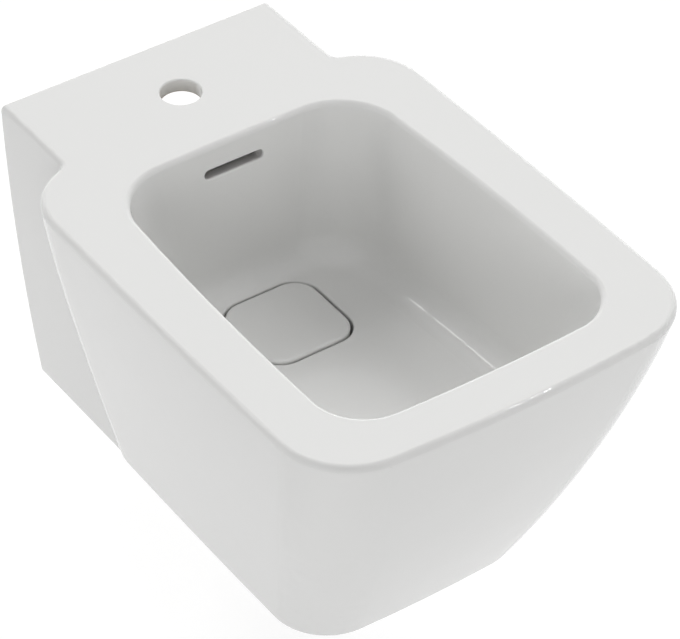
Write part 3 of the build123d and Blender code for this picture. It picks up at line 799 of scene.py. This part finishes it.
class BIDET_OT_wind_spring(bpy.types.Operator):
    """Winds the return spring of the press plug"""

    bl_idname = "bidet.wind_spring"
    bl_label = "Wind the spring"

    def execute(self, context):
        settings = context.scene.bidet_spring
        low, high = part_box("plunger_spring")
        middle = (low + high) / 2
        spring = coil_spring(
            "return_spring",
            material_of("plunger_spring"),
            (high.x - low.x) / 2 - settings.wire_radius,
            settings.wire_radius,
            settings.turns,
            high.z - low.z,
            (middle.x, middle.y, low.z),
        )
        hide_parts("plunger_spring")
        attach(spring, "root")
        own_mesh(spring)
        return {"FINISHED"}


class BIDET_OT_thread_waste(bpy.types.Operator):
    """Makes the pipe thread on the tail of the waste"""

    bl_idname = "bidet.thread_waste"
    bl_label = "Thread the waste"

    def execute(self, context):
        settings = context.scene.bidet_threads
        tail = MOUNTS["waste_tail"]
        length = tail["dims"]["length_mm"] * MM - settings.waste_pitch
        low = WASTE_FOOT + settings.waste_pitch
        thread = thread_ridge(
            "waste_thread",
            material_of("waste_body"),
            tail["dims"]["r_mm"] * MM,
            settings.waste_pitch,
            length,
            (tail["pos_m"][0], tail["pos_m"][1], low),
            (0, 0, 0),
            settings.crest,
        )
        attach(thread, "root")
        return {"FINISHED"}


class BIDET_OT_thread_blocks(bpy.types.Operator):
    """Makes the stud threads in the two fixing blocks"""

    bl_idname = "bidet.thread_blocks"
    bl_label = "Thread the fixing blocks"

    def execute(self, context):
        settings = context.scene.bidet_threads
        studs = MOUNTS["wall_studs"]
        low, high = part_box("fixing_blocks")
        for side, name in ((-1, "stud_thread_left"), (1, "stud_thread_right")):
            thread = thread_ridge(
                name,
                material_of("fixing_blocks"),
                studs["dims"]["hole_r_mm"] * MM,
                settings.stud_pitch,
                (high.y - low.y) * settings.stud_share,
                (side * studs["dims"]["spacing_x_mm"] * MM / 2, high.y - settings.stud_pitch / 2, 0),
                (pi / 2, 0, 0),
                settings.crest,
            )
            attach(thread, "root")
        return {"FINISHED"}


class BIDET_OT_knurl_screws(bpy.types.Operator):
    """Makes the knurls round the heads of the two clamp screws"""

    bl_idname = "bidet.knurl_screws"
    bl_label = "Knurl the clamp screws"

    def execute(self, context):
        settings = context.scene.bidet_threads
        low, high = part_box("clamp_screws")
        head_radius = (high.y - low.y) / 2
        middle_z = low.z + settings.knurl_length / 2 + settings.knurl_width
        knurls = knurl_ring(
            "clamp_knurls",
            material_of("clamp_screws"),
            head_radius - settings.knurl_width * KNURL_SUNK,
            settings.knurls,
            settings.knurl_width,
            settings.knurl_length,
            (high.x - head_radius, (low.y + high.y) / 2, middle_z),
        )
        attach(knurls, "root")
        return {"FINISHED"}


class BIDET_OT_set_stage(bpy.types.Operator):
    """Adds the floor, the light and the camera"""

    bl_idname = "bidet.set_stage"
    bl_label = "Set the stage"

    def execute(self, context):
        stage = context.scene.bidet_stage
        add_floor(stage)
        add_sky(context.scene, stage)
        add_lamps(context.scene, stage)
        add_camera(context.scene, context.scene.bidet_camera)
        return {"FINISHED"}


# Stage


def add_floor(stage):
    """A white floor that shows the shadow, returns light to the bidet and is clear from below."""
    half = stage.floor_size / 2
    level = RIM_Z - stage.rim_height
    corners = [(-half, -half, level), (half, -half, level), (half, half, level), (-half, half, level)]
    mesh = bpy.data.meshes.new("floor")
    mesh.from_pydata(corners, [], [(0, 1, 2, 3)])
    floor = bpy.data.objects.new("floor", mesh)
    bpy.context.scene.collection.objects.link(floor)
    white = Shader("white_floor")
    seen = white.seen()
    colour = white.tree.nodes.new("ShaderNodeCombineColor")
    lit = white.band(seen, 0, 1, stage.floor_tone, SEEN_FLOOR_TONE)
    for socket in colour.inputs[:3]:
        white.feed(socket, lit)
    white.finish(
        base_color=colour.outputs[0],
        roughness=1.0,
        specular_ior_level=0.0,
        emission_color=(1, 1, 1),
        emission_strength=white.maths("MULTIPLY", seen, SEEN_FLOOR_GLOW),
    )
    clear = white.tree.nodes.new("ShaderNodeBsdfTransparent")
    under = white.tree.nodes.new("ShaderNodeNewGeometry").outputs["Backfacing"]
    sides = white.tree.nodes.new("ShaderNodeMixShader")
    white.feed(sides.inputs[0], under)
    white.feed(sides.inputs[1], white.surface.outputs[0])
    white.feed(sides.inputs[2], clear.outputs[0])
    white.feed(white.output.inputs["Surface"], sides.outputs[0])
    mesh.materials.append(white.material)


def add_sky(scene, stage):
    """Even light from all round, which shows as white."""
    world = bpy.data.worlds.new("soft_sky")
    world.use_nodes = True
    scene.world = world
    sky = Tree(world.node_tree)
    background = sky.tree.nodes["Background"]
    strength = sky.band(sky.seen(), 0, 1, stage.sky_strength, SEEN_SKY)
    sky.feed(background.inputs["Strength"], strength)
    sky.feed(background.inputs["Color"], (1, 1, 1, 1))


def add_lamps(scene, stage):
    """Far round lamps, each shining at the middle of the bidet."""
    for name, azimuth, elevation, strength, width, lights, shines in LAMPS:
        towards = direction(radians(azimuth), radians(elevation))
        data = bpy.data.lights.new(name, "SUN")
        data.energy = strength * stage.lamp_strength
        data.angle = radians(width)
        lamp = bpy.data.objects.new(name, data)
        lamp.location = towards * LAMP_DISTANCE
        lamp.rotation_euler = towards.to_track_quat("Z", "Y").to_euler()
        lamp.visible_diffuse = lights
        lamp.visible_glossy = shines
        scene.collection.objects.link(lamp)


def add_camera(scene, settings):
    """The photograph's point of view."""
    back = direction(settings.azimuth, settings.elevation)
    right = Vector((cos(settings.azimuth), sin(settings.azimuth), 0))
    up = back.cross(right)
    aim = Vector((0, settings.centre_y, RIM_Z)) + right * settings.slide_right + up * settings.slide_up
    data = bpy.data.cameras.new("view")
    data.sensor_width = SENSOR_WIDTH
    data.lens = settings.lens
    data.clip_end = VIEW_DEPTH
    camera = bpy.data.objects.new("view", data)
    camera.location = aim + back * settings.distance
    camera.rotation_euler = Matrix((right, up, back)).transposed().to_euler()
    scene.collection.objects.link(camera)
    scene.camera = camera
    scene.view_settings.view_transform = "Standard"


# Panel


OPERATORS = (
    BIDET_OT_glaze_ceramic,
    BIDET_OT_finish_plastics,
    BIDET_OT_finish_metals,
    BIDET_OT_wind_spring,
    BIDET_OT_thread_waste,
    BIDET_OT_thread_blocks,
    BIDET_OT_knurl_screws,
    BIDET_OT_set_stage,
)
SETTINGS = {
    "bidet_glaze": GlazeSettings,
    "bidet_spring": SpringSettings,
    "bidet_threads": ThreadSettings,
    "bidet_stage": StageSettings,
    "bidet_camera": CameraSettings,
}


class BIDET_PT_sidebar(bpy.types.Panel):
    """Lists the settings and the steps"""

    bl_label = "Wall-hung bidet"
    bl_space_type = "VIEW_3D"
    bl_region_type = "UI"
    bl_category = "Bidet"

    def draw(self, context):
        for name, group in SETTINGS.items():
            box = self.layout.box()
            for setting in group.__annotations__:
                box.prop(getattr(context.scene, name), setting)
        for operator in OPERATORS:
            self.layout.operator(operator.bl_idname)


CLASSES = (*SETTINGS.values(), *OPERATORS, BIDET_PT_sidebar)


def register():
    for cls in CLASSES:
        bpy.utils.register_class(cls)
    for name, group in SETTINGS.items():
        setattr(bpy.types.Scene, name, bpy.props.PointerProperty(type=group))


def unregister():
    for name in SETTINGS:
        delattr(bpy.types.Scene, name)
    for cls in reversed(CLASSES):
        bpy.utils.unregister_class(cls)


def main():
    """Runs every step in order."""
    register()
    bpy.ops.bidet.glaze_ceramic()
    bpy.ops.bidet.finish_plastics()
    bpy.ops.bidet.finish_metals()
    bpy.ops.bidet.wind_spring()
    bpy.ops.bidet.thread_waste()
    bpy.ops.bidet.thread_blocks()
    bpy.ops.bidet.knurl_screws()
    bpy.ops.bidet.set_stage()


if __name__ == "__main__":
    main()
